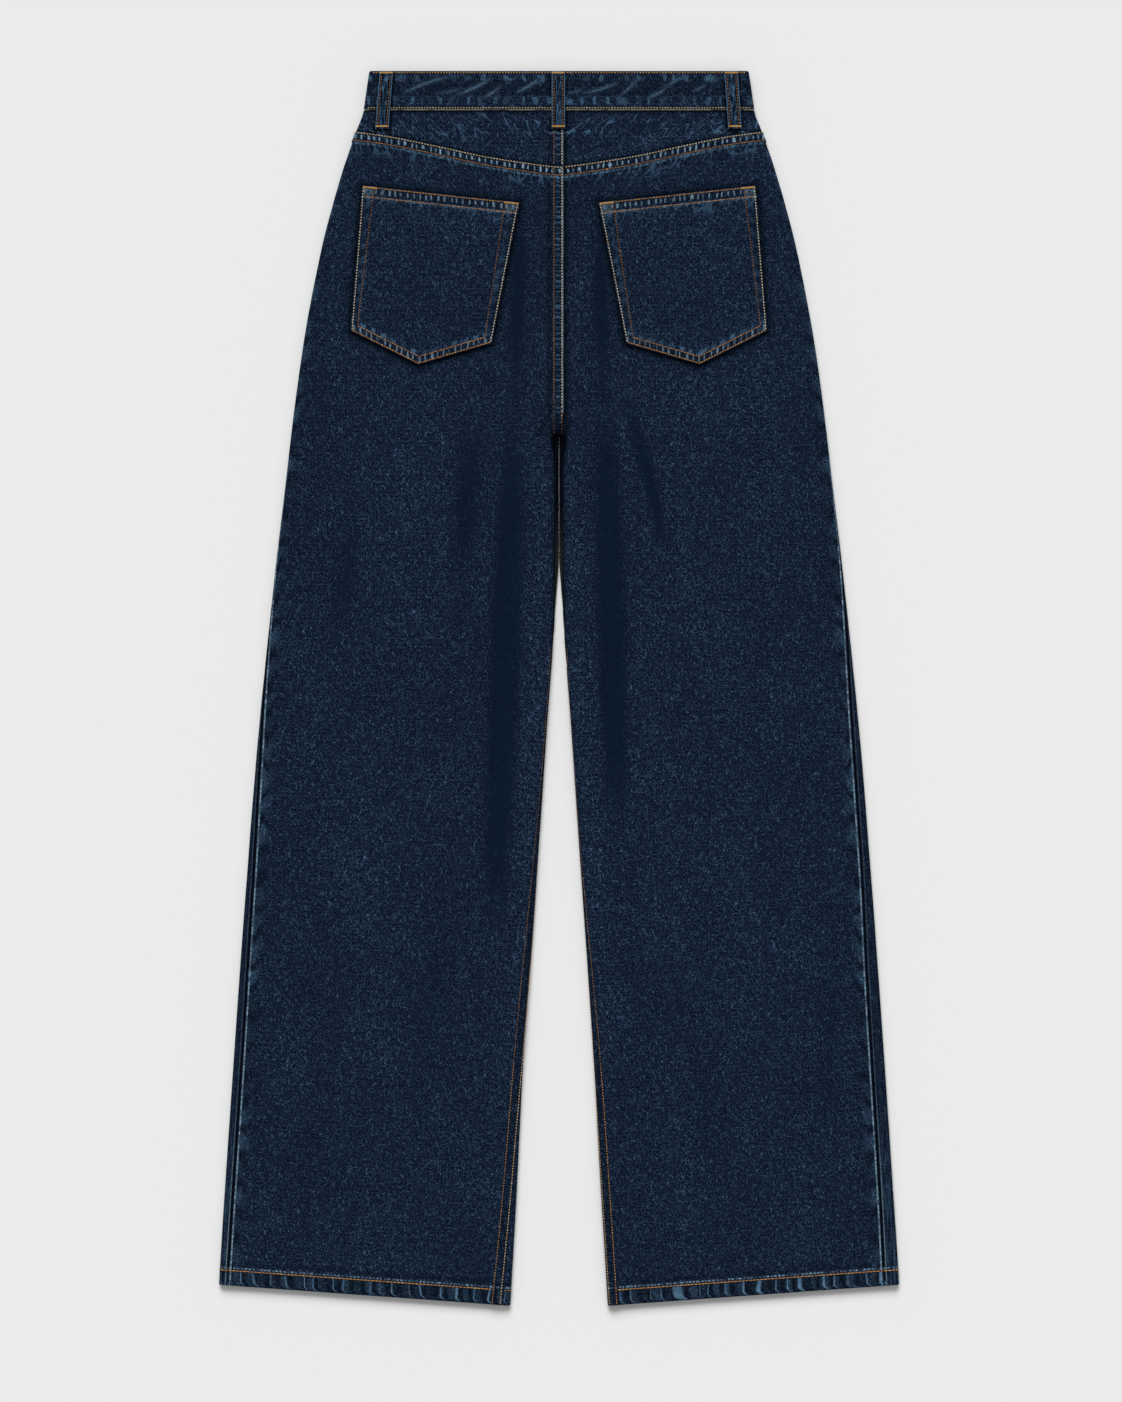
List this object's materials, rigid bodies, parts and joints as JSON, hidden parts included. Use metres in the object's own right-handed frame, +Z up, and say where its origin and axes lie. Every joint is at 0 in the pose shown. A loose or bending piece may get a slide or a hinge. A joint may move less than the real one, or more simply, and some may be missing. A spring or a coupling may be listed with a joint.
{
  "type": "wide leg jeans",
  "caption": "Wide leg denim jeans laid flat on their front, with a waistband, belt loops, a pointed yoke and patch pockets on the back.",
  "frame": {"origin": "on the surface that the jeans lie on, under the middle of their outline", "axes": "+Z up, out of the back of the garment; +Y towards the waist; +X towards the wearer's right"},
  "size_m": [0.596, 1.0814, 0.0111],
  "materials": {
    "denim": "dark indigo cotton twill with tan topstitching",
    "button_metal": "dull, aged"
  },
  "bodies": {
    "root": {"front_leg_left": "denim", "front_leg_right": "denim", "front_pocket_facing_left": "denim", "front_pocket_facing_right": "denim", "back_leg_left": "denim", "back_leg_right": "denim", "yoke_left": "denim", "yoke_right": "denim", "back_pocket_left": "denim", "back_pocket_right": "denim", "waistband": "denim", "belt_loop_back": "denim", "belt_loop_back_left": "denim", "belt_loop_back_right": "denim", "belt_loop_front_left": "denim", "belt_loop_front_right": "denim", "waist_button": "button_metal"}
  },
  "joints": []
}
